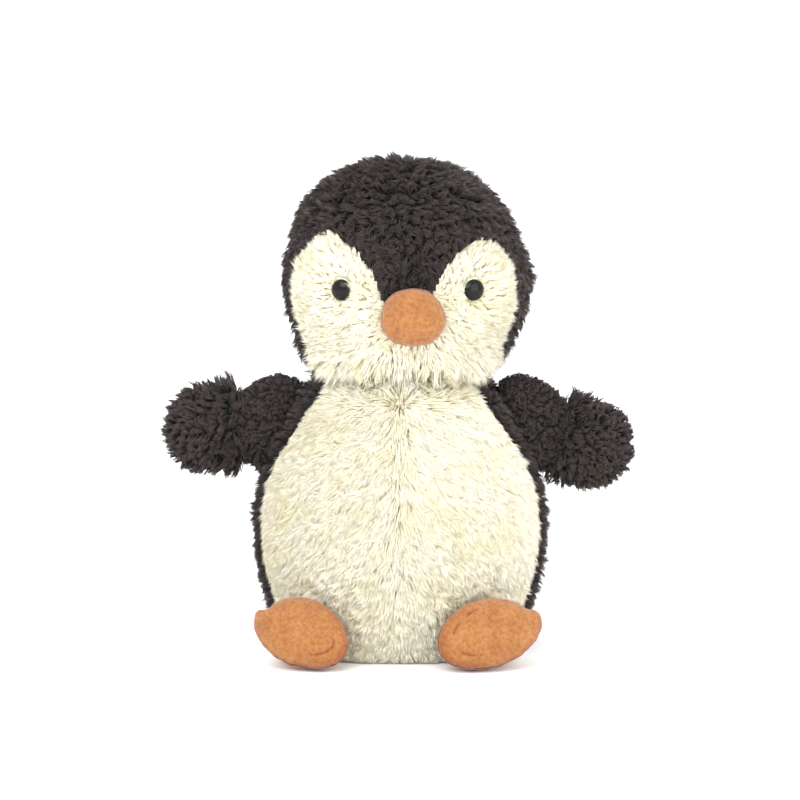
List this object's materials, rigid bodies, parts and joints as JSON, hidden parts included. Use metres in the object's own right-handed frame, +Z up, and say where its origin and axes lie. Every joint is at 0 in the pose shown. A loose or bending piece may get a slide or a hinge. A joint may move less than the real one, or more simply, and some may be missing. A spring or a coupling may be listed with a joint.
{
  "type": "plush penguin",
  "caption": "Sitting plush penguin with a dark hood and back, a cream face and belly, orange beak and feet, soft hinged wings and a leaning head.",
  "frame": {"origin": "middle of the flat seat that the penguin rests on", "axes": "+Z up along its height, -Y the way it faces, +X its own left side"},
  "size_m": [0.2125, 0.1462, 0.2245],
  "materials": {
    "dark_pile": "matte",
    "cream_pile": "matte",
    "orange_suede": "matte",
    "stuffing": "matte",
    "eye_plastic": "gloss",
    "washer_plastic": "satin",
    "pouch_cloth": "matte",
    "pellets": "satin",
    "thread": "matte",
    "label_cloth": "matte"
  },
  "bodies": {
    "torso": {"belly_panel_left": "cream_pile", "belly_panel_right": "cream_pile", "back_panel_left": "dark_pile", "back_panel_right": "dark_pile", "base_panel": "dark_pile", "torso_stuffing": "stuffing", "bean_pouch": "pouch_cloth", "bean_pellets": "pellets", "care_label": "label_cloth"},
    "neck": {"neck_stuffing": "stuffing"},
    "neck_ring": {"neck_gather": "thread"},
    "head": {"face_panel_left": "cream_pile", "face_panel_right": "cream_pile", "hood_panel_left": "dark_pile", "hood_panel_right": "dark_pile", "hood_gusset": "dark_pile", "head_stuffing": "stuffing", "eye_left": "eye_plastic", "eye_right": "eye_plastic", "eye_washer_left": "washer_plastic", "eye_washer_right": "washer_plastic", "beak_front": "orange_suede", "beak_band": "orange_suede", "beak_stuffing": "stuffing"},
    "wing_root_left": {"wing_root_left": "dark_pile"},
    "wing_left": {"wing_front_panel_left": "dark_pile", "wing_back_panel_left": "dark_pile", "wing_stuffing_left": "stuffing"},
    "foot_left": {"foot_upper_panel_left": "orange_suede", "foot_sole_panel_left": "orange_suede", "foot_stuffing_left": "stuffing"},
    "wing_root_right": {"wing_root_right": "dark_pile"},
    "wing_right": {"wing_front_panel_right": "dark_pile", "wing_back_panel_right": "dark_pile", "wing_stuffing_right": "stuffing"},
    "foot_right": {"foot_upper_panel_right": "orange_suede", "foot_sole_panel_right": "orange_suede", "foot_stuffing_right": "stuffing"}
  },
  "joints": [
    {"name": "neck_nod", "type": "hinge", "parent": "torso", "child": "neck", "pos_m": [0, 0, 0.13], "axis": [1, 0, 0], "range_deg": [-10, 12], "stiffness_Nm_per_rad": 0.2},
    {"name": "neck_tilt", "type": "hinge", "parent": "neck", "child": "neck_ring", "pos_m": [0, 0, 0.13], "axis": [0, 1, 0], "range_deg": [-9, 9], "stiffness_Nm_per_rad": 0.2},
    {"name": "head_turn", "type": "hinge", "parent": "neck_ring", "child": "head", "pos_m": [0, 0, 0.13], "axis": [0, 0, 1], "range_deg": [-25, 25], "stiffness_Nm_per_rad": 0.08},
    {"name": "wing_swing_left", "type": "hinge", "parent": "torso", "child": "wing_root_left", "pos_m": [0.0555, -0.004, 0.1055], "axis": [-0.4067, 0, 0.9135], "range_deg": [-40, 40], "stiffness_Nm_per_rad": 0.02},
    {"name": "wing_flap_left", "type": "hinge", "parent": "wing_root_left", "child": "wing_left", "pos_m": [0.0555, -0.004, 0.1055], "axis": [0, -1, 0], "range_deg": [-13, 51], "stiffness_Nm_per_rad": 0.02},
    {"name": "foot_fold_left", "type": "hinge", "parent": "torso", "child": "foot_left", "pos_m": [0.0409, -0.043, 0.008], "axis": [-0.9903, -0.1392, 0], "range_deg": [-20, 5], "stiffness_Nm_per_rad": 0.05},
    {"name": "wing_swing_right", "type": "hinge", "parent": "torso", "child": "wing_root_right", "pos_m": [-0.0555, -0.004, 0.1055], "axis": [0.4067, 0, 0.9135], "range_deg": [-40, 40], "stiffness_Nm_per_rad": 0.02},
    {"name": "wing_flap_right", "type": "hinge", "parent": "wing_root_right", "child": "wing_right", "pos_m": [-0.0555, -0.004, 0.1055], "axis": [0, 1, 0], "range_deg": [-26, 38], "stiffness_Nm_per_rad": 0.02},
    {"name": "foot_fold_right", "type": "hinge", "parent": "torso", "child": "foot_right", "pos_m": [-0.0451, -0.043, 0.008], "axis": [-0.9903, 0.1392, 0], "range_deg": [-20, 5], "stiffness_Nm_per_rad": 0.05}
  ]
}
